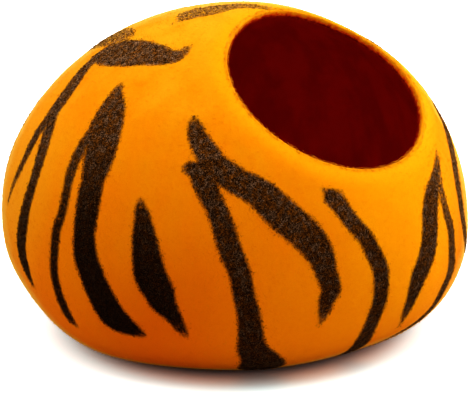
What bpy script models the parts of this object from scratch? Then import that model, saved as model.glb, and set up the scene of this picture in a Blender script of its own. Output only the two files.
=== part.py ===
"""A felted wool cat cave: a squat, hollow, round vessel with a flat base and one round mouth high on its front.

The real thing is wet-felted over a ball in one piece, so it is one solid here: an outer skin, an inner skin
one wall's thickness away, and a rounded lip where the mouth was cut.

Metres, +Z up. The origin is the centre of the flat base. The mouth faces -Y and up.
Azimuth is measured round +Z from -Y towards +X, and latitude from the belly, the widest ring.
"""

import math
from collections import namedtuple

import bmesh
import bpy
from mathutils import Matrix, Vector

# Body
BELLY_RADIUS = 0.240
BELLY_HEIGHT = 0.099
CROWN_HEIGHT = 0.320
CROWN_FULLNESS = 2.07  # power of the crown's profile; 2 is an ellipse
BASE_RADIUS = 0.155
BASE_LATITUDE = math.radians(-55.0)  # skin below this latitude lies flat on the floor
WALL = 0.007

# Hand-made unevenness: where the shell's middle wanders to, and where its side bulges (+) or is flattened (-).
# A swell's azimuth and latitude are in degrees, its push in metres; it dies away over SWELL_REACH.
BELLY_SWAY = Vector((0.0, 0.003, 0.0))
CROWN_SWAY = Vector((0.013, 0.0075, 0.0))
SWELL_REACH = 0.050
Swell = namedtuple("Swell", "azimuth latitude push")
SWELLS = [
    Swell(-140.0, 17.0, 0.0030),
    Swell(-118.0, -22.0, -0.0040),
    Swell(-90.0, -38.0, 0.0085),
    Swell(-12.0, -39.0, -0.0080),
    Swell(44.0, 28.0, -0.0020),
    Swell(92.0, -18.0, 0.0035),
    Swell(138.0, 20.0, -0.0030),
]

# Mouth
MOUTH_ELEVATION = math.radians(57.0)
MOUTH_HALF_ANGLE = math.radians(29.4)
MOUTH_OVAL = 0.10  # share by which the cut is longer one way than round
MOUTH_OVAL_TURN = math.radians(36.5)
MOUTH_WAVER = 0.023  # the hand-cut edge wanders this share three times round
MOUTH_WAVER_TURN = math.radians(151.0)
LIP_TUCK = 0.004  # the wall turns in by this much at the lip
LIP_BAND = 0.035  # over this width
LIP_ROUND = 0.0032

# Facets
MERIDIANS = 64
RINGS = 33
RING_CROWDING = 1.35  # over 1 gathers the rings near the lip


def profile(latitude):
    """Radius and height of the outer skin before it is made uneven."""
    if latitude >= 0.0:
        radius = BELLY_RADIUS * math.cos(latitude) ** (2.0 / CROWN_FULLNESS)
        rise = math.sin(latitude) ** (2.0 / CROWN_FULLNESS)
        height = BELLY_HEIGHT + (CROWN_HEIGHT - BELLY_HEIGHT) * rise
    elif latitude > BASE_LATITUDE:
        turn = 0.5 * math.pi * latitude / BASE_LATITUDE
        radius = BASE_RADIUS + (BELLY_RADIUS - BASE_RADIUS) * math.cos(turn)
        height = BELLY_HEIGHT * (1.0 - math.sin(turn))
    else:
        radius = BASE_RADIUS * (0.5 * math.pi + latitude) / (0.5 * math.pi + BASE_LATITUDE)
        height = 0.0
    return radius, height


def sway(height):
    """Sideways offset of the body's centre at a height, from none at the base to the crown's."""
    if height < BELLY_HEIGHT:
        return BELLY_SWAY * (1.0 - (1.0 - height / BELLY_HEIGHT) ** 1.5)
    rise = (height - BELLY_HEIGHT) / (CROWN_HEIGHT - BELLY_HEIGHT)
    return BELLY_SWAY + (CROWN_SWAY - BELLY_SWAY) * rise**1.5


def even_point(azimuth, latitude):
    """Point of the outer skin before its swells."""
    radius, height = profile(latitude)
    return Vector((radius * math.sin(azimuth), -radius * math.cos(azimuth), height)) + sway(height)


def swell_centres():
    return [even_point(math.radians(row.azimuth), math.radians(row.latitude)) for row in SWELLS]


def skin_point(direction, centres):
    """Point of the outer skin that a unit direction from the body's middle stands for."""
    latitude = math.asin(max(-1.0, min(1.0, direction.z)))
    spot = even_point(math.atan2(direction.x, -direction.y), latitude)
    outward = spot - BELLY_SWAY
    outward.z = max(0.0, spot.z - BELLY_HEIGHT)  # below the belly the swells push sideways, so the base stays flat
    push = 0.0
    for row, centre in zip(SWELLS, centres):
        push += row.push * math.exp(-0.5 * (spot - centre).length_squared / SWELL_REACH**2)
    return spot + push * outward.normalized()


def mouth_angle(around):
    """Angle between the mouth's axis and its cut edge, at an angle round that axis from +X."""
    oval = MOUTH_OVAL * math.cos(2.0 * (around - MOUTH_OVAL_TURN))
    waver = MOUTH_WAVER * math.cos(3.0 * (around - MOUTH_WAVER_TURN))
    return MOUTH_HALF_ANGLE * (1.0 + oval + waver)


def outer_skin():
    """A ball with one pole on the mouth's axis: that pole is cut away and the rings are drawn over the body."""
    skin = bmesh.new()
    bmesh.ops.create_uvsphere(skin, u_segments=MERIDIANS, v_segments=RINGS + 1, radius=1.0)
    mouth_pole = max(skin.verts, key=lambda vert: vert.co.z)
    bmesh.ops.delete(skin, geom=[mouth_pole], context="VERTS")
    first_ring = math.pi / (RINGS + 1)
    centres = swell_centres()
    tilt = Matrix.Rotation(0.5 * math.pi - MOUTH_ELEVATION, 3, "X")
    for vert in skin.verts:
        around = math.atan2(vert.co.y, vert.co.x)
        share = (math.acos(max(-1.0, vert.co.z)) - first_ring) / (math.pi - first_ring)
        past_lip = (math.pi - mouth_angle(around)) * max(0.0, share) ** RING_CROWDING
        from_axis = mouth_angle(around) + past_lip
        flat = math.sin(from_axis)
        direction = tilt @ Vector((flat * math.cos(around), flat * math.sin(around), math.cos(from_axis)))
        tuck = LIP_TUCK * max(0.0, 1.0 - past_lip * BELLY_RADIUS / LIP_BAND) ** 2
        vert.co = skin_point(direction, centres) - tuck * direction
    bmesh.ops.recalc_face_normals(skin, faces=skin.faces)
    return skin


def felt_material():
    material = bpy.data.materials.new("orange_felt")
    material.use_nodes = True
    shader = material.node_tree.nodes["Principled BSDF"]
    shader.inputs["Base Color"].default_value = (0.93, 0.33, 0.01, 1.0)
    shader.inputs["Roughness"].default_value = 0.95
    shader.inputs["Metallic"].default_value = 0.0
    return material


def felt_shell():
    """The whole cave: the outer skin, thickened inwards, with the cut edge of the mouth rounded."""
    mesh = bpy.data.meshes.new("felt_shell")
    skin = outer_skin()
    skin.to_mesh(mesh)
    skin.free()
    mesh.materials.append(felt_material())
    mesh.shade_smooth()
    shell = bpy.data.objects.new("felt_shell", mesh)
    bpy.context.scene.collection.objects.link(shell)

    wall = shell.modifiers.new("wall", "SOLIDIFY")
    wall.thickness = WALL
    wall.offset = -1.0
    wall.use_even_offset = True
    wall.use_quality_normals = True

    lip = shell.modifiers.new("lip", "BEVEL")
    lip.limit_method = "ANGLE"
    lip.angle_limit = math.radians(50.0)
    lip.width = LIP_ROUND
    lip.segments = 3
    lip.profile = 0.5
    return shell


for old in list(bpy.data.objects):
    bpy.data.objects.remove(old)
felt_shell()
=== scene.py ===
"""The looks of a wet-felted cat cave: orange wool with black-brown tiger stripes felted into its face,
a dark red inner face, and short loose fibres that stand out of the felt.

Metres, +Z up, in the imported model's frame: the origin is the middle of the base, and the mouth faces
-Y and up. Azimuth is measured round +Z from -Y towards +X, and latitude from the belly, the widest ring.
"""

import math
from collections import namedtuple

import bmesh
import bpy
import numpy as np
from mathutils import Matrix, Vector, noise
from mathutils.bvhtree import BVHTree


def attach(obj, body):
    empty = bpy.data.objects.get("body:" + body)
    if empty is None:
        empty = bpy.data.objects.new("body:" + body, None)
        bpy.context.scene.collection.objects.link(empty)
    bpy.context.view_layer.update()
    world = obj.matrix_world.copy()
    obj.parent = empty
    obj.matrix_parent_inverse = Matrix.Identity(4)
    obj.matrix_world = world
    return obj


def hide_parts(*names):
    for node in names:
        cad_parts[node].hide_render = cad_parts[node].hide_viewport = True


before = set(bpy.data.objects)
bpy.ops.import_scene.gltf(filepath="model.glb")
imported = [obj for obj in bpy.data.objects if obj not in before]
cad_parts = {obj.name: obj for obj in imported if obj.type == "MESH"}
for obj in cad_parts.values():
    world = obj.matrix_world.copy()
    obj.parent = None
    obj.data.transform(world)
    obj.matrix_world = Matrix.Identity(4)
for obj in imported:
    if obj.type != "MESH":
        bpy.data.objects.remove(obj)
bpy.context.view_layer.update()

# Body, as felted over the ball
BELLY_RADIUS = 0.240
BELLY_HEIGHT = 0.099
CROWN_HEIGHT = 0.320
CROWN_FULLNESS = 2.07  # power of the crown's profile; 2 is an ellipse
BASE_RADIUS = 0.155
BASE_LATITUDE = math.radians(-55.0)  # skin below this latitude lies flat on the floor
WALL = 0.007
BELLY_SWAY = np.array([0.0, 0.003, 0.0])
CROWN_SWAY = np.array([0.013, 0.0075, 0.0])
SWAY_EASE = 1.5  # power by which the sway comes in with height
# where the side bulges (+) or is flattened (-): azimuth and latitude in degrees, and the push in metres,
# which dies away over SWELL_REACH
SWELL_REACH = 0.050
Swell = namedtuple("Swell", "azimuth latitude push")
SWELLS = [
    Swell(-140.0, 17.0, 0.0030),
    Swell(-118.0, -22.0, -0.0040),
    Swell(-90.0, -38.0, 0.0085),
    Swell(-12.0, -39.0, -0.0080),
    Swell(44.0, 28.0, -0.0020),
    Swell(92.0, -18.0, 0.0035),
    Swell(138.0, 20.0, -0.0030),
]

# Mouth
MOUTH_ELEVATION = math.radians(57.0)
MOUTH_HALF_ANGLE = math.radians(29.4)
MOUTH_OVAL = 0.10  # share by which the cut is longer one way than round
MOUTH_OVAL_TURN = math.radians(36.5)
MOUTH_WAVER = 0.023  # the hand-cut edge wanders this share three times round
MOUTH_WAVER_TURN = math.radians(151.0)
LIP_TUCK = 0.004  # the wall turns in by this much at the lip
LIP_BAND = 0.035  # over this width
LIP_ROUND = 0.0032
MOUTH_TILT = Matrix.Rotation(0.5 * math.pi - MOUTH_ELEVATION, 3, "X")
LIP_EDGE_ANGLE = math.radians(50.0)  # an edge sharper than this is the cut lip's, and is rounded

# Felt's own unevenness, fingertip by fingertip
DIMPLE_SIZE = 0.045
DIMPLE_DEPTH = 0.0004
DIMPLE_FRACTAL = (0.6, 2.0, 3)  # increment, lacunarity and octaves of the dimples' noise
DIMPLES_FULL_AT = 0.02  # height; they fade out below it, so the base stays flat on the floor

# Facets
MERIDIANS = 256
RINGS = 148
RING_CROWDING = 1.15  # over 1 gathers the rings near the lip
LIP_SEGMENTS = 4
CREST_SHARES = (0.0, 0.25, 0.5, 0.75)  # of the way between two points of the rim, for the crest's dots

# The stripes: centre lines charted on the body, each row an azimuth and a latitude in degrees and
# the stripe's width there in millimetres
STRIPES = {
    "left_shoulder": [
        (-125.5, 53, 20), (-123, 55.5, 32), (-117, 57, 42), (-109, 58.5, 44), (-100, 59.5, 39),
        (-93, 60, 33), (-87.5, 60, 27), (-82, 60.5, 21), (-79, 62, 14), (-78, 64.5, 8), (-78, 66, 3),
    ],
    "left_shoulder_back": [(-150.5, 51, 14), (-146, 56, 34), (-136, 60, 36), (-124, 62.5, 10)],
    "left_flank": [
        (-125.5, 53, 15), (-123.5, 49, 20), (-120, 44, 24), (-118.5, 39.5, 25), (-117.8, 36, 24),
        (-118, 33, 20), (-119, 30, 18), (-119, 25, 16), (-120, 19, 13), (-122, 13.5, 9), (-123.5, 8, 4),
    ],
    "left_flank_branch": [
        (-115.5, 35, 14), (-113, 30.5, 19), (-111, 26, 19), (-110, 22, 18), (-110, 16.5, 18),
        (-110.5, 11, 21), (-111, 7, 24), (-111.5, 2, 24), (-110.5, -2, 22), (-109, -6, 17),
        (-107, -10, 7),
    ],
    "second": [
        (-95.5, 50, 4), (-95, 47.5, 12), (-93.5, 44.5, 22), (-92, 42, 31), (-91, 38.5, 39),
        (-89.6, 34.5, 40), (-88.3, 30, 37), (-88, 25.5, 32),
    ],
    "second_left_leg": [
        (-93.5, 39, 6), (-94.9, 34.5, 13), (-95.8, 30, 15), (-95.8, 24, 14), (-95.3, 20, 13),
        (-95, 15, 13), (-96, 10, 14), (-96, 5, 14), (-96, 0.5, 14), (-95, -6.5, 14), (-94, -11.5, 15),
        (-93, -16, 14), (-91, -20, 5),
    ],
    "second_right_leg": [
        (-87.8, 22, 30), (-87.4, 17, 30), (-87, 11, 28), (-86, 6, 30), (-84, 2, 30), (-82, -2.5, 32),
        (-80, -8, 33), (-78.5, -11, 32), (-76.5, -13, 26), (-74, -15, 17), (-72.5, -16, 11),
        (-71, -17, 4),
    ],
    "short": [
        (-73, 22, 3), (-73, 20, 11), (-72, 17, 18), (-71, 12.5, 26), (-70, 8, 31), (-69, 4, 34),
        (-67, 0.5, 32), (-66, -3, 27), (-64.5, -6, 20), (-63, -10, 15), (-62, -13, 11), (-61, -16, 3),
    ],
    "fork": [(-63.5, 42.5, 7), (-62.5, 40.5, 15), (-60.5, 37, 21), (-58, 34, 24), (-56, 31, 27)],
    "fork_spur": [(-64.5, 29.5, 2), (-63, 29.5, 8), (-62, 30, 14), (-60, 29.5, 19)],
    "fork_left_leg": [
        (-58.5, 29, 26), (-57, 25, 23), (-55, 21.5, 21), (-53, 17, 22), (-51, 11, 23), (-49, 6, 22),
        (-48, 1, 22), (-47, -5, 23), (-46.5, -12, 25), (-46, -21, 30), (-44, -28, 38), (-43, -35, 48),
    ],
    "fork_right_leg": [
        (-57, 32, 24), (-52, 28.5, 27), (-48.5, 26.5, 27), (-44, 24, 30), (-40.5, 20.5, 33),
        (-37, 17, 33), (-33, 13, 32), (-30.5, 9, 28), (-29, 4, 23), (-28, 0.5, 22), (-29, -3, 18),
        (-29.5, -8, 12), (-30.5, -13.5, 2),
    ],
    "under_mouth_top": [(-28, 23.5, 8), (-26, 23, 9), (-23.5, 22.3, 8)],
    "under_mouth": [
        (-26.3, 21.8, 19), (-24.5, 19.5, 19), (-22.5, 16, 18), (-19, 11.5, 18), (-17, 7.5, 19),
        (-15, 3, 20), (-14.5, -1, 20), (-14.5, -7, 20), (-15, -13, 20), (-15, -21, 21), (-14, -32, 24),
        (-15, -38, 20),
    ],
    "right": [
        (15.5, 26, 4), (13.5, 24, 9), (11, 21.5, 14), (8, 19, 19), (5, 16, 25), (3, 12, 28), (2, 7, 29),
        (0.5, 2.5, 29), (-2, -2, 27), (-3, -8, 21), (-3.5, -15, 15), (-3, -20, 9), (-2, -25, 4),
    ],
    "right_twin": [
        (12, 21, 8), (10.5, 17, 11), (10.5, 11.5, 15), (12.5, 6, 17), (13, 0.5, 18), (13.5, -6.5, 20),
        (12, -14, 20), (11, -22, 18), (7, -28, 15), (2, -32, 11), (-2, -36, 8), (-6, -40, 3),
    ],
    "right_thin": [
        (41, 33.5, 8), (38, 31.5, 16), (35, 28, 22), (28, 23, 22), (23, 17, 20), (21.5, 12, 19),
        (22.5, 6, 18), (26, -1, 16), (31, -9, 13), (36, -18, 8), (39, -25, 3),
    ],
    "crown": [
        (-112.5, 72, 5), (-112.5, 74, 10), (-115, 76.5, 20), (-124, 79, 34), (-124.5, 81, 40),
        (-125, 83, 38), (-140, 86, 29), (172, 88, 24), (93.5, 87, 20), (71, 83.5, 15), (68, 77, 6),
    ],
    # the side that the photograph doesn't show, finished in the same manner
    "back_a": [(50, 38, 3), (47, 25, 21), (46, 8, 29), (48, -10, 23), (50, -26, 3)],
    "back_b": [(62, 55, 4), (64, 42, 26), (66, 25, 34), (68, 8, 26), (66, -12, 18), (63, -30, 3)],
    "back_c": [(82, 30, 3), (80, 15, 18), (80, 0, 23), (83, -18, 16), (86, -38, 26)],
    "back_d": [(98, 60, 4), (99, 45, 31), (100, 28, 39)],
    "back_d_left_leg": [(100, 28, 34), (95, 12, 26), (93, -8, 23), (90, -24, 3)],
    "back_d_right_leg": [(101, 30, 29), (107, 14, 26), (109, -2, 21), (107, -20, 3)],
    "back_e": [(122, 40, 3), (124, 24, 21), (123, 5, 26), (120, -15, 21), (119, -40, 31)],
    "back_f": [(138, 62, 4), (140, 48, 23), (141, 30, 34), (139, 12, 29), (141, -8, 18), (144, -24, 3)],
    "back_g": [(158, 34, 3), (157, 18, 18), (160, 0, 23), (163, -16, 16), (164, -32, 3)],
    "back_h": [(177, 58, 4), (176, 42, 29), (177, 25, 36)],
    "back_h_left_leg": [(177, 25, 29), (172, 8, 23), (171, -10, 18), (173, -28, 3)],
    "back_h_right_leg": [(178, 27, 26), (184, 12, 23), (186, -5, 21), (184, -24, 3)],
    "back_i": [(202, 46, 3), (200, 32, 21), (202, 14, 29), (199, -4, 23), (201, -38, 26)],
    "back_j": [(218, 36, 3), (217, 22, 16), (220, 6, 21), (218, -12, 10), (217, -28, 3)],
}
STRIPE_STEP = 0.002  # spacing of the dots that a centre line is drawn with
MILLIMETRE = 0.001
LEAST_WIDTH = 1.0  # millimetres
TIP_SHARE = 0.35  # share of dark wool where a stripe's width comes to nothing
SHARE_WIDTH = 30.0  # millimetres of width that add a whole share to that, until the share is 1
# share of dark wool in the stripes that were laid thinly
FAINT = {"crown": 0.55, "left_shoulder_back": 0.55, "right_thin": 0.85, "right_twin": 0.90}
CHUNK = 4000  # spots measured at a time

# Loose wool: the number of fibres, the rings of facets along each, and their length, width, lift off the
# felt and curl. A fibre's own measures are shares of its tuft's, drawn from the ranges below.
Tuft = namedtuple("Tuft", "count bends length width lift curl")
STRIPE_EDGE = Tuft(8000, 2, 0.0034, 0.00009, 0.0005, 0.0008)
STRIPE_CURLS = Tuft(30000, 2, 0.0028, 0.00022, 0.0008, 0.0010)
FACE_FUZZ = Tuft(32000, 2, 0.0036, 0.00007, 0.0016, 0.0008)
LIP_FUZZ = Tuft(12000, 2, 0.0040, 0.00018, 0.0024, 0.0012)
RED_FUZZ = Tuft(12000, 2, 0.0045, 0.00014, 0.0022, 0.0012)
LENGTHS = (0.5, 1.4)
WIDTHS = (0.6, 1.3)
LIFTS = (0.0, 1.0)
TIP_LIFTS = (-0.4, 1.0)

# Where the fibres are rooted
WOOL_SEED = 11
WOOL_SAMPLES = 600000  # spots tried all over the felt
FACE_FROM_LIP = 0.004  # the stripes' wool and the face's fuzz keep this far from the lip's crest
FACE_FROM_FLOOR = 0.001
EDGE_MIDDLE = -0.0005  # distance from a stripe's edge where its edge wool is thickest
EDGE_REACH = 0.0040
# painted light: the stripes' curls are fewer towards the foot and paler towards the crown
CURLS_AT_FOOT = 0.3  # share of the curls that the stripes still have at the foot
PALE_AT_FOOT = 0.25  # and how pale those are, next to the crown's
FUZZ_OVERLAP = 0.0015  # the face's fuzz comes this far into a stripe
FUZZ_IN_STRIPES = 0.5  # further in it is this dense next to the face's, times the share without dark wool
OUTER_LIP = (-0.005, -0.001)  # distances from the lip's crest
INNER_LIP = (0.0, 0.0070)
FLOOR_GAP = 0.0002  # the floor lies this far below the base's level, and fibres stay this far above it

# Photograph's view
VIEW_AZIMUTH = math.radians(-49.8)
VIEW_ELEVATION = math.radians(16.0)
VIEW_DISTANCE = 2.0
VIEW_ASIDE = 0.0007  # the picture's middle lies this far to the right of the body's
VIEW_ABOVE = -0.0442  # and this far above it
SENSOR = 36.0  # millimetres
LENS = 148.15

# Light
FLOOR_SIZE = 6.0
FLOOR_SEEN = (0.95, 0.95, 0.95, 1.0)  # as the camera meets it
FLOOR_LIT = (0.70, 0.70, 0.70, 1.0)  # as all other light does
# to the camera the floor also shines, so that it stays white: not at all nearer to GLOW_MIDDLE than the
# first of these distances and fully past the second, in a tint that follows the distance too
GLOW_MIDDLE = (-0.030, -0.025, 0.0)
FLOOR_GLOW = (0.125, 0.29)
# painted shadow: the tints make the floor's shadow warm at the foot, grey further out and white beyond
GLOW_SHADOW_TINTS = [
    (0.150, (1.00, 0.60, 0.45, 1.0)),
    (0.178, (0.74, 1.00, 1.00, 1.0)),
    (0.215, (1.00, 1.00, 1.00, 1.0)),
]
SKY_LIGHT = 0.32
SKY_SEEN = 1.3
Lamp = namedtuple("Lamp", "size power place target")
LAMPS = {
    "overhead": Lamp(1.4, 12.0, (-0.1, -0.3, 1.8), (0.0, 0.0, 0.1)),
    "left_side": Lamp(1.1, 4.5, (-0.75, 1.35, 0.75), (0.0, 0.0, 0.12)),
    "right_side": Lamp(1.1, 11.0, (1.40, -0.85, 0.65), (0.0, 0.0, 0.12)),
    "low_front": Lamp(0.8, 1.2, (0.10, -1.42, 0.10), (0.0, 0.0, 0.05)),
}


# --------------------------------------------------------------------------------------
# Shape
# --------------------------------------------------------------------------------------


def profile(latitude):
    """Radii and heights of the outer skin before it is made uneven."""
    up = np.clip(latitude, 0.0, 0.5 * math.pi)
    turn = 0.5 * math.pi * np.clip(latitude / BASE_LATITUDE, 0.0, 1.0)
    radius_up = BELLY_RADIUS * np.abs(np.cos(up)) ** (2.0 / CROWN_FULLNESS)
    height_up = BELLY_HEIGHT + (CROWN_HEIGHT - BELLY_HEIGHT) * np.sin(up) ** (2.0 / CROWN_FULLNESS)
    radius_low = BASE_RADIUS + (BELLY_RADIUS - BASE_RADIUS) * np.cos(turn)
    height_low = BELLY_HEIGHT * (1.0 - np.sin(turn))
    radius_base = BASE_RADIUS * (0.5 * math.pi + latitude) / (0.5 * math.pi + BASE_LATITUDE)
    above, off_floor = latitude >= 0.0, latitude > BASE_LATITUDE
    radius = np.where(above, radius_up, np.where(off_floor, radius_low, radius_base))
    height = np.where(above, height_up, np.where(off_floor, height_low, 0.0))
    return radius, height


def even_points(azimuth, latitude):
    """Points of the outer skin before its swells."""
    radius, height = profile(latitude)
    fall = np.clip(1.0 - height / BELLY_HEIGHT, 0.0, 1.0) ** SWAY_EASE
    rise = np.clip((height - BELLY_HEIGHT) / (CROWN_HEIGHT - BELLY_HEIGHT), 0.0, 1.0) ** SWAY_EASE
    sway = np.outer(1.0 - fall, BELLY_SWAY) + np.outer(rise, CROWN_SWAY - BELLY_SWAY)
    return np.stack([radius * np.sin(azimuth), -radius * np.cos(azimuth), height], axis=1) + sway


def skin_points(azimuth, latitude):
    """Points of the outer skin, with its swells."""
    spots = even_points(azimuth, latitude)
    outward = spots - BELLY_SWAY
    outward[:, 2] = np.maximum(0.0, spots[:, 2] - BELLY_HEIGHT)
    outward /= np.maximum(np.linalg.norm(outward, axis=1, keepdims=True), 1e-9)
    swell_azimuths = np.radians([row.azimuth for row in SWELLS])
    swell_latitudes = np.radians([row.latitude for row in SWELLS])
    push = np.zeros(len(spots))
    for row, centre in zip(SWELLS, even_points(swell_azimuths, swell_latitudes)):
        push += row.push * np.exp(-0.5 * ((spots - centre) ** 2).sum(axis=1) / SWELL_REACH**2)
    return spots + push[:, None] * outward


def directions(azimuth, latitude):
    """Unit directions from the body's middle."""
    flat = np.cos(latitude)
    return np.stack([flat * np.sin(azimuth), -flat * np.cos(azimuth), np.sin(latitude)], axis=1)


def skin_toward(ways):
    """Points of the outer skin that unit directions from the body's middle stand for."""
    return skin_points(np.arctan2(ways[:, 0], -ways[:, 1]), np.arcsin(np.clip(ways[:, 2], -1.0, 1.0)))


def mouth_angle(around):
    """Angle between the mouth's axis and its cut edge, at an angle round that axis from +X."""
    oval = MOUTH_OVAL * np.cos(2.0 * (around - MOUTH_OVAL_TURN))
    waver = MOUTH_WAVER * np.cos(3.0 * (around - MOUTH_WAVER_TURN))
    return MOUTH_HALF_ANGLE * (1.0 + oval + waver)


def outer_skin():
    """A ball with a pole on the mouth's axis; that pole is cut away and the rings are drawn over the body."""
    skin = bmesh.new()
    bmesh.ops.create_uvsphere(skin, u_segments=MERIDIANS, v_segments=RINGS + 1, radius=1.0)
    mouth_pole = max(skin.verts, key=lambda vert: vert.co.z)
    bmesh.ops.delete(skin, geom=[mouth_pole], context="VERTS")
    ball = np.array([vert.co for vert in skin.verts])
    first_ring = math.pi / (RINGS + 1)
    around = np.arctan2(ball[:, 1], ball[:, 0])
    share = (np.arccos(np.clip(ball[:, 2], -1.0, 1.0)) - first_ring) / (math.pi - first_ring)
    past_lip = (math.pi - mouth_angle(around)) * np.clip(share, 0.0, 1.0) ** RING_CROWDING
    from_axis = mouth_angle(around) + past_lip
    flat = np.sin(from_axis)
    toward = np.stack([flat * np.cos(around), flat * np.sin(around), np.cos(from_axis)], axis=1)
    toward = toward @ np.array(MOUTH_TILT).T
    tuck = LIP_TUCK * np.clip(1.0 - past_lip * BELLY_RADIUS / LIP_BAND, 0.0, 1.0) ** 2
    spots = skin_toward(toward) - tuck[:, None] * toward
    for vert, spot, way in zip(skin.verts, spots, toward):
        lifted = min(1.0, spot[2] / DIMPLES_FULL_AT)
        dimple = noise.fractal(Vector(spot) / DIMPLE_SIZE, *DIMPLE_FRACTAL)
        vert.co = Vector(spot) + Vector(way) * (DIMPLE_DEPTH * lifted * dimple)
    bmesh.ops.recalc_face_normals(skin, faces=skin.faces)
    return skin


def thickened(skin):
    """The skin given its wall and a rounded lip, as a mesh."""
    mesh = bpy.data.meshes.new("felt_form")
    skin.to_mesh(mesh)
    skin.free()
    form = bpy.data.objects.new("felt_form", mesh)
    bpy.context.scene.collection.objects.link(form)
    wall = form.modifiers.new("wall", "SOLIDIFY")
    wall.thickness = WALL
    wall.offset = -1.0
    wall.use_even_offset = True
    wall.use_quality_normals = True
    lip = form.modifiers.new("lip", "BEVEL")
    lip.limit_method = "ANGLE"
    lip.angle_limit = LIP_EDGE_ANGLE
    lip.width = LIP_ROUND
    lip.segments = LIP_SEGMENTS
    lip.profile = 0.5
    solid = bpy.data.meshes.new_from_object(form.evaluated_get(bpy.context.evaluated_depsgraph_get()))
    bpy.data.objects.remove(form)
    return solid


def rim_turn(spot):
    """Angle of a point of the rim round the mouth's axis."""
    flat = MOUTH_TILT.transposed() @ (spot - Vector((0.0, 0.0, BELLY_HEIGHT)))
    return math.atan2(flat.y, flat.x)


def lip_crest(skin):
    """Dots along the crest of the lip, halfway through the wall, in order round the mouth."""
    verts = sorted((vert for vert in skin.verts if vert.is_boundary), key=lambda vert: rim_turn(vert.co))
    rim = np.array([vert.co - 0.5 * WALL * vert.normal for vert in verts])
    following = np.roll(rim, -1, axis=0)
    steps = [rim + (following - rim) * share for share in CREST_SHARES]
    return np.stack(steps, axis=1).reshape(-1, 3)


def nearest_gap(spots, dots, radii):
    """Distance from each spot to the nearest dot's edge, negative inside a dot, and which dot that is."""
    gap, nearest = np.empty(len(spots)), np.empty(len(spots), dtype=int)
    dots_squared = (dots**2).sum(axis=1)
    for start in range(0, len(spots), CHUNK):
        part = spots[start : start + CHUNK]
        squared = (part**2).sum(axis=1)[:, None] + dots_squared[None, :] - 2.0 * part @ dots.T
        gaps = np.sqrt(np.maximum(squared, 0.0)) - radii[None, :]
        nearest[start : start + CHUNK] = gaps.argmin(axis=1)
        gap[start : start + CHUNK] = gaps.min(axis=1)
    return gap, nearest


def curve_through(before, start, end, after, count):
    """A smooth curve from one knot to the next, as rows of points; the knots on either side bend it."""
    t = np.linspace(0.0, 1.0, count, endpoint=False)[:, None]
    bend = 2 * before - 5 * start + 4 * end - after
    return start + 0.5 * t * (end - before + t * (bend + t * (3 * (start - end) + after - before)))


def stripe_dots():
    """Centre lines of all the stripes, drawn as overlapping dots on the outer skin, each with its radius
    and the share of dark wool laid there: less towards a stripe's tips and in the faint stripes."""
    spots, radii, shares = [], [], []
    for name, rows in STRIPES.items():
        azimuth, latitude, width = np.array(rows, dtype=float).T
        knots = np.column_stack([directions(np.radians(azimuth), np.radians(latitude)), width])
        knots = np.vstack([2 * knots[0] - knots[1], knots, 2 * knots[-1] - knots[-2]])
        for before, start, end, after in zip(knots, knots[1:], knots[2:], knots[3:]):
            count = max(2, int(np.linalg.norm((end - start)[:3]) * BELLY_RADIUS / STRIPE_STEP))
            curve = curve_through(before, start, end, after, count)
            spots.append(skin_toward(curve[:, :3] / np.linalg.norm(curve[:, :3], axis=1, keepdims=True)))
            width = np.maximum(LEAST_WIDTH, curve[:, 3])
            radii.append(0.5 * MILLIMETRE * width)
            shares.append(FAINT.get(name, 1.0) * np.clip(TIP_SHARE + width / SHARE_WIDTH, 0.0, 1.0))
    return np.concatenate(spots), np.concatenate(radii), np.concatenate(shares)


def vertex_array(mesh, name):
    """The place ("co") or the normal ("normal") of every vertex, as rows of three."""
    flat = np.empty(3 * len(mesh.vertices), dtype=np.float32)
    mesh.vertices.foreach_get(name, flat)
    return flat.reshape(-1, 3).astype(float)


def attribute_array(mesh, name):
    """A number kept at every vertex, as rows of one."""
    flat = np.empty(len(mesh.vertices), dtype=np.float32)
    mesh.attributes[name].data.foreach_get("value", flat)
    return flat[:, None].astype(float)


def put_attribute(mesh, name, values):
    """Keeps a number at every vertex, for the materials to read."""
    layer = mesh.attributes.new(name, "FLOAT", "POINT")
    layer.data.foreach_set("value", np.asarray(values, dtype=np.float32))


def piece(name, mesh):
    """A finished piece, which rides on the part's one body."""
    mesh.name = name
    made = bpy.data.objects.new(name, mesh)
    bpy.context.scene.collection.objects.link(made)
    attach(made, "root")
    return made


def felt_shell():
    """The whole cave as one closed body, with three attributes: stripe, the distance from the nearest
    stripe's edge; share, how much of the wool is dark in that stripe; and lip_way, the distance from the
    lip's crest, which is negative on the outer face and positive inside."""
    skin = outer_skin()
    form = BVHTree.FromBMesh(skin)
    crest = lip_crest(skin)
    solid = thickened(skin)
    spots = vertex_array(solid, "co")
    depth = np.array([form.find_nearest(Vector(spot))[3] for spot in spots])
    from_crest, _ = nearest_gap(spots, crest, np.zeros(len(crest)))
    put_attribute(solid, "lip_way", np.where(depth < 0.5 * WALL, -from_crest, from_crest))
    dots, radii, shares = stripe_dots()
    gap, nearest = nearest_gap(spots, dots, radii)
    put_attribute(solid, "stripe", gap)
    put_attribute(solid, "share", shares[nearest])
    solid.materials.append(felt_material())
    solid.shade_smooth()
    return piece("felt_shell_felted", solid)


# --------------------------------------------------------------------------------------
# Loose wool
# --------------------------------------------------------------------------------------


def steady_corners(mesh, spots):
    """Corners of a mesh's triangles, sorted by place: the bevel numbers its points anew each run."""
    mesh.calc_loop_triangles()
    corners = np.empty(3 * len(mesh.loop_triangles), dtype=np.int32)
    mesh.loop_triangles.foreach_get("vertices", corners)
    corners = corners.reshape(-1, 3)
    rank = np.argsort(np.lexsort(spots.T))
    corners = np.take_along_axis(corners, rank[corners].argsort(axis=1), axis=1)
    return corners[np.lexsort(rank[corners].T)]


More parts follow.
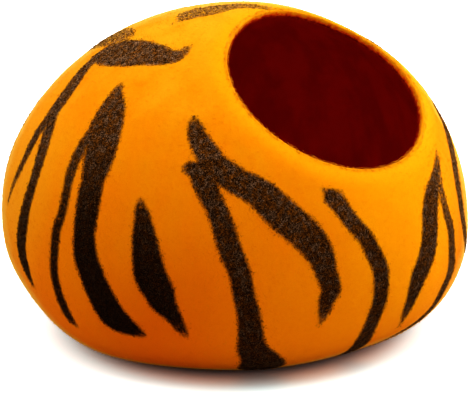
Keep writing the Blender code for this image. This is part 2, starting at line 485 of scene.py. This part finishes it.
def face_samples(mesh, count, draw):
    """Spots spread evenly over a mesh, with the normal and the three attributes at each."""
    spots = vertex_array(mesh, "co")
    corners = steady_corners(mesh, spots)
    first, second, third = spots[corners[:, 0]], spots[corners[:, 1]], spots[corners[:, 2]]
    area = np.linalg.norm(np.cross(second - first, third - first), axis=1)
    chosen = corners[draw.choice(len(corners), size=count, p=area / area.sum())]
    shares = draw.dirichlet((1.0, 1.0, 1.0), size=count)
    layers = [spots, vertex_array(mesh, "normal")]
    layers += [attribute_array(mesh, name) for name in ("stripe", "share", "lip_way")]
    return [np.einsum("ij,ijk->ik", shares, values[chosen]).squeeze() for values in layers]


def fibre_template(bends):
    """A ball of few facets, which each fibre draws out into a spindle along Z."""
    ball = bmesh.new()
    bmesh.ops.create_uvsphere(ball, u_segments=3, v_segments=bends, radius=1.0)
    bmesh.ops.triangulate(ball, faces=ball.faces)
    spots = np.array([vert.co for vert in ball.verts])
    faces = np.array([[vert.index for vert in face.verts] for face in ball.faces])
    ball.free()
    return spots, faces


def fibres(name, tuft, roots, normals, pale, draw, material):
    """Bent spindles of wool, each at a root on the felt, joined into one piece."""
    spots, faces = fibre_template(tuft.bends)
    count = len(roots)
    aside = draw.normal(size=(count, 3))
    along = aside - (aside * normals).sum(axis=1, keepdims=True) * normals
    along /= np.linalg.norm(along, axis=1, keepdims=True)
    across = np.cross(normals, along)
    length = tuft.length * draw.uniform(*LENGTHS, size=count)
    width = tuft.width * draw.uniform(*WIDTHS, size=count)
    lift = tuft.lift * draw.uniform(*LIFTS, size=count)
    tip = tuft.lift * draw.uniform(*TIP_LIFTS, size=count)
    curl = tuft.curl * draw.normal(size=count)
    s = spots[:, 2][None, :]  # from -1 at the fibre's one end to 1 at its tip
    reach = 0.5 * length[:, None] * s
    side = curl[:, None] * (1.0 - s**2) + width[:, None] * spots[:, 0][None, :]
    rise = lift[:, None] * (1.0 - s**2) + tip[:, None] * s + width[:, None] * spots[:, 1][None, :]
    places = (
        roots[:, None, :]
        + reach[:, :, None] * along[:, None, :]
        + side[:, :, None] * across[:, None, :]
        + rise[:, :, None] * normals[:, None, :]
    )
    places[:, :, 2] = np.maximum(places[:, :, 2], FLOOR_GAP)
    all_faces = (faces[None] + len(spots) * np.arange(count)[:, None, None]).reshape(-1, 3)
    mesh = bpy.data.meshes.new(name)
    mesh.from_pydata(places.reshape(-1, 3), [], all_faces)
    put_attribute(mesh, "tone", np.repeat(pale * draw.uniform(size=count), len(spots)))
    mesh.materials.append(material)
    mesh.shade_smooth()
    return piece(name, mesh)


def wool(shell):
    """All the loose fibres, as five pieces: at the stripes' edges, in the stripes, over the orange face,
    and round the lip outside and inside."""
    draw = np.random.default_rng(WOOL_SEED)
    spots, normals, stripe, share, lip_way = face_samples(shell.data, WOOL_SAMPLES, draw)
    height = np.clip(spots[:, 2] / CROWN_HEIGHT, 0.0, 1.0)
    out = (lip_way < -FACE_FROM_LIP) & (spots[:, 2] > FACE_FROM_FLOOR)
    luck = draw.uniform(size=len(spots))
    near_edge = np.clip(1.0 - np.abs(stripe - EDGE_MIDDLE) / EDGE_REACH, 0.0, 1.0)
    curled = CURLS_AT_FOOT + (1.0 - CURLS_AT_FOOT) * height
    pale_above = PALE_AT_FOOT + (1.0 - PALE_AT_FOOT) * height
    edge = out & (luck < near_edge * share)
    striped = out & (stripe < 0.0) & (luck < curled * share)
    plain = out & ((stripe > -FUZZ_OVERLAP) | (luck < FUZZ_IN_STRIPES * (1.0 - share)))
    lip = (lip_way > OUTER_LIP[0]) & (lip_way < OUTER_LIP[1])
    inner = (lip_way > INNER_LIP[0]) & (lip_way < INNER_LIP[1])
    even = np.ones(len(spots))
    for name, slot, tuft, where, pale, tones in (
        ("stripe_edge_wool", "black_wool", STRIPE_EDGE, edge, even, DARK_TONES),
        ("stripe_curls", "black_wool", STRIPE_CURLS, striped, pale_above, BROWN_TONES),
        ("face_fuzz", "orange_felt", FACE_FUZZ, plain, even, ORANGE_TONES),
        ("lip_fuzz", "orange_felt", LIP_FUZZ, lip, even, LIP_HIGHLIGHT_TONES),
        ("inner_lip_fuzz", "red_felt", RED_FUZZ, inner, even, RED_TONES),
    ):
        rooted = np.flatnonzero(where)
        picked = draw.choice(rooted, size=min(tuft.count, len(rooted)), replace=False)
        material = wool_material(name, tones)
        fibres(name, tuft, spots[picked], normals[picked], pale[picked], draw, material)


# --------------------------------------------------------------------------------------
# Finishes
# --------------------------------------------------------------------------------------

MATT_ROUGHNESS = 0.95
MATT_SPECULAR = 0.03
SHEEN = {"Sheen Weight": 0.15, "Sheen Roughness": 0.4, "Sheen Tint": (1.0, 0.75, 0.40, 1.0)}

# Orange face, in painted light and shade: yellower towards the crown and deeper towards the foot; heights
# here are shares of the crown's
ORANGE_LIT_BY_HEIGHT = (
    (0.0, (0.90, 0.25, 0.002, 1.0)),
    (0.4, (0.92, 0.31, 0.003, 1.0)),
    (0.75, (0.89, 0.36, 0.006, 1.0)),
    (1.0, (0.89, 0.46, 0.024, 1.0)),
)
UNEVEN_HEIGHT = 0.5  # how strongly the clouds in the felt move that height up or down
# painted highlight: the face turns yellower near the lip, where the wall curls in towards the light
LIP_HIGHLIGHT_ORANGE = (0.92, 0.45, 0.012, 1.0)
LIP_HIGHLIGHT_BAND = (-0.024, -0.006)  # distances from the lip's crest between which it comes in
# painted shade: the face darkens at the foot, just above the floor
FOOT_SHADE_ORANGE = (0.24, 0.04, 0.001, 1.0)
FOOT_SHADE = (0.045, 0.0)  # heights between which it comes in
DEEP_ORANGE = (0.80, 0.17, 0.002, 1.0)
MATTED = 0.22  # its share along the threads
RIM_SHEEN_ORANGE = (0.95, 0.60, 0.13, 1.0)  # painted sheen of lit fuzz: paler where the face is seen edge-on
EDGE_ON = (0.76, 0.95, 0.0, 0.90)  # facings where it begins and is full, and its shares there

# Red inner face
RED = (0.84, 0.110, 0.012, 1.0)
DEEP_RED = (0.71, 0.070, 0.009, 1.0)
RED_MOTTLE = (0.35, 0.65)  # cloud values between which the one turns into the other
LIP_RAGGED = 0.012  # how strongly the tufts move the turns of colour at the lip
# colours met on the way in over the lip, each with the distances from its crest between which it comes in;
# the second is a band of painted shade, darker than the red further in
LIP_TURNS = (
    (-0.0024, 0.0018, (0.86, 0.16, 0.004, 1.0)),
    (0.0008, 0.0034, (0.40, 0.016, 0.004, 1.0)),
)
RED_TURN = (0.0050, 0.0300)  # and the distances for the inner face's red, which comes last

# Stripes
# painted light: the stripes are paler towards the crown and darker towards the foot
STRIPE_LIT_BY_HEIGHT = (
    (0.0, (0.040, 0.014, 0.003, 1.0)),
    (0.4, (0.045, 0.019, 0.005, 1.0)),
    (0.75, (0.058, 0.028, 0.009, 1.0)),
    (1.0, (0.110, 0.058, 0.022, 1.0)),
)
STRIPE_RAGGED = 0.007  # how strongly the fray moves a stripe's edge
STRIPE_SOFT = (0.0015, -0.0035)  # distances from that edge between which the dark wool comes in
STRANDS = (0.34, 0.66)  # fray values that part bare orange from a strand of dark wool
STRAND_WEIGHT = 0.5
WOOL_LAID = (0.50, 1.02)  # share and strands together, from none of the dark wool to all of it
STRIPE_FROM_LIP = (-0.001, -0.004)  # distances from the lip's crest between which the stripes begin
PACKED_WOOL = (0.022, 0.009, 0.003, 1.0)
PACKED = (0.36, 0.62, 0.30, 0.0)  # tuft values between which it fades out, and its shares there
TAN = (0.65, 0.40, 0.25, 1.0)
GLINT = (0.64, 0.26, 0.050, 1.0)
GLINTS = (0.44, 0.54)  # tuft values between which a tan thread turns into a glint
THREADS_LIT_BY_HEIGHT = (0.0, 1.0, 0.32, 0.85)  # foot and crown, and how much the threads show there: painted light, more towards the crown

# Patches of painted light, paler, and of painted shade, deeper, on the orange face and in the stripes: the
# place, the distances from it at which the patch begins and is full, its share there and its colour
Patch = namedtuple("Patch", "place begins full share colour")
LIGHT_AND_SHADE_PATCHES = [
    Patch((-0.01, -0.235, 0.125), 0.16, 0.04, 0.55, (0.96, 0.49, 0.006, 1.0)),
    Patch((-0.20, -0.11, 0.045), 0.13, 0.02, 0.45, (0.84, 0.18, 0.002, 1.0)),
    Patch((0.130, -0.20, 0.070), 0.12, 0.03, 0.85, (0.64, 0.23, 0.006, 1.0)),
    Patch((-0.13, -0.195, 0.050), 0.15, 0.03, 0.55, (0.96, 0.37, 0.004, 1.0)),
    Patch((-0.20, 0.14, 0.170), 0.15, 0.03, 0.55, (0.93, 0.48, 0.030, 1.0)),
]
WOOL_LIGHT_AND_SHADE_PATCHES = [
    Patch((-0.225, -0.01, 0.070), 0.19, 0.06, 0.72, (0.014, 0.005, 0.001, 1.0)),
    Patch((-0.16, -0.11, 0.220), 0.10, 0.04, 0.13, (0.014, 0.005, 0.001, 1.0)),
    Patch((0.14, -0.19, 0.090), 0.16, 0.05, 0.08, (0.36, 0.20, 0.080, 1.0)),
]

# Grain: settings of the felt_grain group, of Blender's noise and of the relief
NOISE_MIDDLE = 0.5  # the value that the noise wanders round
GRAIN = {"Cloud Scale": 30.0, "Thread Scale": 380.0, "Thread Width": 0.035}
CLOUDS = {"Detail": 4.0}
COMBING = (1.0, 1.0, 0.4)  # the clouds are drawn out upwards, as the wool was laid
TANGLE = {"Detail": 2.0, "Distortion": 1.2}
TANGLE_SHIFTS = ((0.0, 0.0, 0.0), (0.31, 0.17, 0.53))  # one layer of threads for each
THREAD_RELIEF = 0.5
FRAY = {"Scale": 420.0, "Detail": 5.0, "Roughness": 0.7, "Distortion": 0.8}
TUFTS = {"Scale": 160.0, "Detail": 4.0}
RELIEF = {"Strength": 0.3, "Distance": 0.0006}

# Tones of the loose fibres, from the darkest fibre to the palest
DARK_TONES = (
    (0.0, (0.014, 0.006, 0.002, 1.0)),
    (0.5, (0.12, 0.045, 0.010, 1.0)),
    (1.0, (0.85, 0.32, 0.020, 1.0)),
)
BROWN_TONES = (
    (0.0, (0.02, 0.009, 0.004, 1.0)),
    (0.45, (0.16, 0.08, 0.03, 1.0)),
    (1.0, (0.90, 0.56, 0.30, 1.0)),
)
ORANGE_TONES = (
    (0.0, (0.88, 0.29, 0.004, 1.0)),
    (0.6, (0.92, 0.38, 0.008, 1.0)),
    (1.0, (0.97, 0.55, 0.06, 1.0)),
)
# painted highlight: the lip's fuzz is paler than the face's
LIP_HIGHLIGHT_TONES = (
    (0.0, (0.90, 0.36, 0.008, 1.0)),
    (0.5, (0.94, 0.47, 0.020, 1.0)),
    (1.0, (0.98, 0.60, 0.12, 1.0)),
)
RED_TONES = (
    (0.0, (0.50, 0.02, 0.004, 1.0)),
    (0.6, (0.75, 0.07, 0.005, 1.0)),
    (1.0, (0.92, 0.26, 0.008, 1.0)),
)


def set_inputs(node, values):
    """Gives a node's inputs their values by name."""
    for name, value in values.items():
        node.inputs[name].default_value = value


def new_material(name):
    """A matt material, with its nodes, its links and its shader."""
    material = bpy.data.materials.new(name)
    material.use_nodes = True
    nodes, links = material.node_tree.nodes, material.node_tree.links
    shader = nodes["Principled BSDF"]
    set_inputs(shader, {"Roughness": MATT_ROUGHNESS, "Specular IOR Level": MATT_SPECULAR})
    return material, nodes, links, shader


def ramp(nodes, links, value, stops):
    """Colour that a value has on a ramp of stops, each a position and a colour."""
    node = nodes.new("ShaderNodeValToRGB")
    for _ in range(len(stops) - 2):
        node.color_ramp.elements.new(0.5)
    for element, (position, colour) in zip(node.color_ramp.elements, stops):
        element.position = position
        element.color = colour
    links.new(value, node.inputs["Fac"])
    return node.outputs["Color"]


def attribute_value(nodes, name):
    """A number that the mesh keeps at its vertices."""
    node = nodes.new("ShaderNodeAttribute")
    node.attribute_name = name
    return node.outputs["Fac"]


def noise_node(nodes, links, place, settings):
    """A noise node over a place."""
    node = nodes.new("ShaderNodeTexNoise")
    set_inputs(node, settings)
    links.new(place, node.inputs["Vector"])
    return node


def mixed(nodes, links, share, first, second):
    """Colour between two colours or sockets by a share."""
    node = nodes.new("ShaderNodeMix")
    node.data_type = "RGBA"
    links.new(share, node.inputs["Factor"])
    for socket, colour in (("A", first), ("B", second)):
        slot = next(s for s in node.inputs if s.name == socket and s.type == "RGBA")
        if isinstance(colour, tuple):
            slot.default_value = colour
        else:
            links.new(colour, slot)
    return next(s for s in node.outputs if s.type == "RGBA")


def eased(nodes, links, value, low, high, low_out=0.0, high_out=1.0):
    """Value eased from low..high to low_out..high_out."""
    node = nodes.new("ShaderNodeMapRange")
    node.interpolation_type = "SMOOTHSTEP"
    links.new(value, node.inputs["Value"])
    set_inputs(node, {"From Min": low, "From Max": high, "To Min": low_out, "To Max": high_out})
    return node.outputs["Result"]


def reckoned(nodes, links, operation, *terms):
    """Result of a Math node on sockets and numbers."""
    node = nodes.new("ShaderNodeMath")
    node.operation = operation
    for slot, term in zip(node.inputs, terms):
        if isinstance(term, (int, float)):
            slot.default_value = term
        else:
            links.new(term, slot)
    return node.outputs["Value"]


def distance(nodes, links, place, middle):
    """Distance of a place from a fixed point."""
    node = nodes.new("ShaderNodeVectorMath")
    node.operation = "DISTANCE"
    node.inputs[1].default_value = middle
    links.new(place, node.inputs[0])
    return node.outputs["Value"]


def patched(nodes, links, place, colour, patches):
    """Colour with each patch's colour laid softly over it."""
    for patch in patches:
        away = distance(nodes, links, place, patch.place)
        laid = eased(nodes, links, away, patch.begins, patch.full, 0.0, patch.share)
        colour = mixed(nodes, links, laid, colour, patch.colour)
    return colour


def wool_material(name, tones):
    """Wool of a loose fibre, each fibre in a tone of its own."""
    material, nodes, links, shader = new_material(name)
    links.new(ramp(nodes, links, attribute_value(nodes, "tone"), tones), shader.inputs["Base Color"])
    return material


def felt_grain():
    """Node group: felt's combed clouds, the tangle of threads in its face, and the relief of both."""
    group = bpy.data.node_groups.new("felt_grain", "ShaderNodeTree")
    for name in ("Cloud Scale", "Thread Scale", "Thread Width"):
        group.interface.new_socket(name, in_out="INPUT", socket_type="NodeSocketFloat")
    for name in ("Clouds", "Threads", "Relief"):
        group.interface.new_socket(name, in_out="OUTPUT", socket_type="NodeSocketFloat")
    nodes, links = group.nodes, group.links
    entry, leave = nodes.new("NodeGroupInput"), nodes.new("NodeGroupOutput")
    place = nodes.new("ShaderNodeTexCoord").outputs["Object"]

    combed = nodes.new("ShaderNodeMapping")
    combed.inputs["Scale"].default_value = COMBING
    links.new(place, combed.inputs["Vector"])
    clouds = noise_node(nodes, links, combed.outputs["Vector"], CLOUDS)
    links.new(entry.outputs["Cloud Scale"], clouds.inputs["Scale"])

    layers = []
    for shift in TANGLE_SHIFTS:  # a thread runs wherever the noise crosses its middle
        moved = nodes.new("ShaderNodeMapping")
        moved.inputs["Location"].default_value = shift
        links.new(place, moved.inputs["Vector"])
        tangle = noise_node(nodes, links, moved.outputs["Vector"], TANGLE)
        links.new(entry.outputs["Thread Scale"], tangle.inputs["Scale"])
        from_middle = reckoned(nodes, links, "SUBTRACT", tangle.outputs["Fac"], NOISE_MIDDLE)
        from_middle = reckoned(nodes, links, "ABSOLUTE", from_middle)
        thin = reckoned(nodes, links, "DIVIDE", from_middle, entry.outputs["Thread Width"])
        layers.append(eased(nodes, links, thin, 1.0, 0.0))
    threads = reckoned(nodes, links, "MAXIMUM", *layers)
    relief = reckoned(nodes, links, "MULTIPLY_ADD", threads, THREAD_RELIEF, clouds.outputs["Fac"])
    links.new(clouds.outputs["Fac"], leave.inputs["Clouds"])
    links.new(threads, leave.inputs["Threads"])
    links.new(relief, leave.inputs["Relief"])
    return group


def orange_face(nodes, links, grain, place, height, lip_way):
    """Colour of the orange wool in painted light and shade, by height and patch: a painted highlight paler at
    the lip, painted sheen paler edge-on, and painted shade deeper at the foot.
    """
    clouds = reckoned(nodes, links, "SUBTRACT", grain.outputs["Clouds"], NOISE_MIDDLE)
    uneven_height = reckoned(nodes, links, "MULTIPLY_ADD", clouds, UNEVEN_HEIGHT, height)
    orange = ramp(nodes, links, uneven_height, ORANGE_LIT_BY_HEIGHT)
    orange = patched(nodes, links, place, orange, LIGHT_AND_SHADE_PATCHES)
    orange = mixed(nodes, links, eased(nodes, links, lip_way, *LIP_HIGHLIGHT_BAND), orange, LIP_HIGHLIGHT_ORANGE)
    orange = mixed(nodes, links, eased(nodes, links, height, *FOOT_SHADE), orange, FOOT_SHADE_ORANGE)
    matted = reckoned(nodes, links, "MULTIPLY", grain.outputs["Threads"], MATTED)
    orange = mixed(nodes, links, matted, orange, DEEP_ORANGE)
    facing = nodes.new("ShaderNodeLayerWeight").outputs["Facing"]
    return mixed(nodes, links, eased(nodes, links, facing, *EDGE_ON), orange, RIM_SHEEN_ORANGE)


def turned_red(nodes, links, grain, tufts, lip_way, face):
    """Colour of the face turning red on the way in over the lip, along a ragged line, through a band of
    painted shade just inside the crest.
    """
    tufted = reckoned(nodes, links, "SUBTRACT", tufts, NOISE_MIDDLE)
    ragged_lip = reckoned(nodes, links, "MULTIPLY_ADD", tufted, LIP_RAGGED, lip_way)
    mottled = eased(nodes, links, grain.outputs["Clouds"], *RED_MOTTLE)
    red = mixed(nodes, links, mottled, DEEP_RED, RED)
    for begins, full, colour in LIP_TURNS:
        face = mixed(nodes, links, eased(nodes, links, ragged_lip, begins, full), face, colour)
    return mixed(nodes, links, eased(nodes, links, ragged_lip, *RED_TURN), face, red)


def stripe_cover(nodes, links, fray, lip_way):
    """Share of dark wool: frayed at a stripe's edges, and strand by strand where it is laid thinly."""
    fringe = reckoned(nodes, links, "SUBTRACT", fray, NOISE_MIDDLE)
    stripe = attribute_value(nodes, "stripe")
    ragged_stripe = reckoned(nodes, links, "MULTIPLY_ADD", fringe, STRIPE_RAGGED, stripe)
    striped = eased(nodes, links, ragged_stripe, *STRIPE_SOFT)
    strands = eased(nodes, links, fray, *STRANDS)
    share = attribute_value(nodes, "share")
    laid = reckoned(nodes, links, "MULTIPLY_ADD", strands, STRAND_WEIGHT, share)
    laid = eased(nodes, links, laid, *WOOL_LAID)
    outside = eased(nodes, links, lip_way, *STRIPE_FROM_LIP)
    return reckoned(nodes, links, "MULTIPLY", striped, reckoned(nodes, links, "MULTIPLY", laid, outside))


def dark_wool(nodes, links, grain, tufts, place, height):
    """Colour of the stripes: black-brown, blacker where packed, with tan threads and glints of orange, in
    painted light that is paler towards the crown, and under patches of painted light and shade.
    """
    dark = ramp(nodes, links, height, STRIPE_LIT_BY_HEIGHT)
    dark = mixed(nodes, links, eased(nodes, links, tufts, *PACKED), dark, PACKED_WOOL)
    shown = eased(nodes, links, height, *THREADS_LIT_BY_HEIGHT)
    threads = reckoned(nodes, links, "MULTIPLY", grain.outputs["Threads"], shown)
    pale = mixed(nodes, links, eased(nodes, links, tufts, *GLINTS), TAN, GLINT)
    return patched(nodes, links, place, mixed(nodes, links, threads, dark, pale), WOOL_LIGHT_AND_SHADE_PATCHES)


def felt_material():
    """Orange felt, striped outside, and dark red inside the lip."""
    material, nodes, links, shader = new_material("tiger_felt")
    set_inputs(shader, SHEEN)
    grain = nodes.new("ShaderNodeGroup")
    grain.node_tree = felt_grain()
    set_inputs(grain, GRAIN)
    place = nodes.new("ShaderNodeTexCoord").outputs["Object"]
    fray = noise_node(nodes, links, place, FRAY).outputs["Fac"]
    tufts = noise_node(nodes, links, place, TUFTS).outputs["Fac"]
    split = nodes.new("ShaderNodeSeparateXYZ")
    links.new(place, split.inputs["Vector"])
    height = reckoned(nodes, links, "DIVIDE", split.outputs["Z"], CROWN_HEIGHT)
    lip_way = attribute_value(nodes, "lip_way")

    orange = orange_face(nodes, links, grain, place, height, lip_way)
    face = turned_red(nodes, links, grain, tufts, lip_way, orange)
    dark = dark_wool(nodes, links, grain, tufts, place, height)
    colour = mixed(nodes, links, stripe_cover(nodes, links, fray, lip_way), face, dark)
    links.new(colour, shader.inputs["Base Color"])

    bump = nodes.new("ShaderNodeBump")
    set_inputs(bump, RELIEF)
    links.new(grain.outputs["Relief"], bump.inputs["Height"])
    links.new(bump.outputs["Normal"], shader.inputs["Normal"])
    return material


# --------------------------------------------------------------------------------------
# Stage, light and camera
# --------------------------------------------------------------------------------------


def floor_material():
    """White to the camera, greyer in the light that it throws back, and shining away from the foot, in tints
    that paint its shadow warm at the foot and grey further out.
    """
    material, nodes, links, shader = new_material("white_floor")
    camera_ray = nodes.new("ShaderNodeLightPath").outputs["Is Camera Ray"]
    links.new(mixed(nodes, links, camera_ray, FLOOR_LIT, FLOOR_SEEN), shader.inputs["Base Color"])
    place = nodes.new("ShaderNodeTexCoord").outputs["Object"]
    away = distance(nodes, links, place, GLOW_MIDDLE)
    glow = reckoned(nodes, links, "MULTIPLY", camera_ray, eased(nodes, links, away, *FLOOR_GLOW))
    links.new(glow, shader.inputs["Emission Strength"])
    links.new(ramp(nodes, links, away, GLOW_SHADOW_TINTS), shader.inputs["Emission Color"])
    return material


def stage():
    """The white floor that the cave stands on."""
    grid = bmesh.new()
    bmesh.ops.create_grid(grid, x_segments=1, y_segments=1, size=FLOOR_SIZE)
    mesh = bpy.data.meshes.new("floor")
    grid.to_mesh(mesh)
    grid.free()
    mesh.materials.append(floor_material())
    floor = bpy.data.objects.new("floor", mesh)
    floor.location.z = -FLOOR_GAP
    bpy.context.scene.collection.objects.link(floor)


def sky():
    """White all round: bright where the camera sees it, softer where it lights."""
    world = bpy.data.worlds.new("studio")
    world.use_nodes = True
    nodes, links = world.node_tree.nodes, world.node_tree.links
    camera_ray = nodes.new("ShaderNodeLightPath").outputs["Is Camera Ray"]
    strength = nodes.new("ShaderNodeMapRange")
    set_inputs(strength, {"To Min": SKY_LIGHT, "To Max": SKY_SEEN})
    links.new(camera_ray, strength.inputs["Value"])
    links.new(strength.outputs["Result"], nodes["Background"].inputs["Strength"])
    nodes["Background"].inputs["Color"].default_value = (1.0, 1.0, 1.0, 1.0)
    bpy.context.scene.world = world


def lamps():
    """Round soft lamps, each turned to its target."""
    for name, row in LAMPS.items():
        light = bpy.data.lights.new(name, "AREA")
        light.shape = "DISK"
        light.size = row.size
        light.energy = row.power
        made = bpy.data.objects.new(name, light)
        made.location = row.place
        made.rotation_euler = (Vector(row.place) - Vector(row.target)).to_track_quat("Z", "Y").to_euler()
        bpy.context.scene.collection.objects.link(made)


def camera():
    """The photograph's view."""
    flat = math.cos(VIEW_ELEVATION)
    back = Vector(
        (math.sin(VIEW_AZIMUTH) * flat, -math.cos(VIEW_AZIMUTH) * flat, math.sin(VIEW_ELEVATION))
    )
    right = Vector((math.cos(VIEW_AZIMUTH), math.sin(VIEW_AZIMUTH), 0.0))
    middle = Vector((BELLY_SWAY[0], BELLY_SWAY[1], 0.5 * CROWN_HEIGHT))
    target = middle + right * VIEW_ASIDE + back.cross(right) * VIEW_ABOVE
    lens = bpy.data.cameras.new("view")
    lens.sensor_width = SENSOR
    lens.lens = LENS
    made = bpy.data.objects.new("view", lens)
    made.location = middle + back * VIEW_DISTANCE
    made.rotation_euler = (made.location - target).to_track_quat("Z", "Y").to_euler()
    bpy.context.scene.collection.objects.link(made)
    bpy.context.scene.camera = made


stage()
sky()
camera()
lamps()
bpy.context.scene.view_settings.view_transform = "Standard"
bpy.context.scene.view_settings.look = "Very High Contrast"

shell = felt_shell()
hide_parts("felt_shell")
wool(shell)
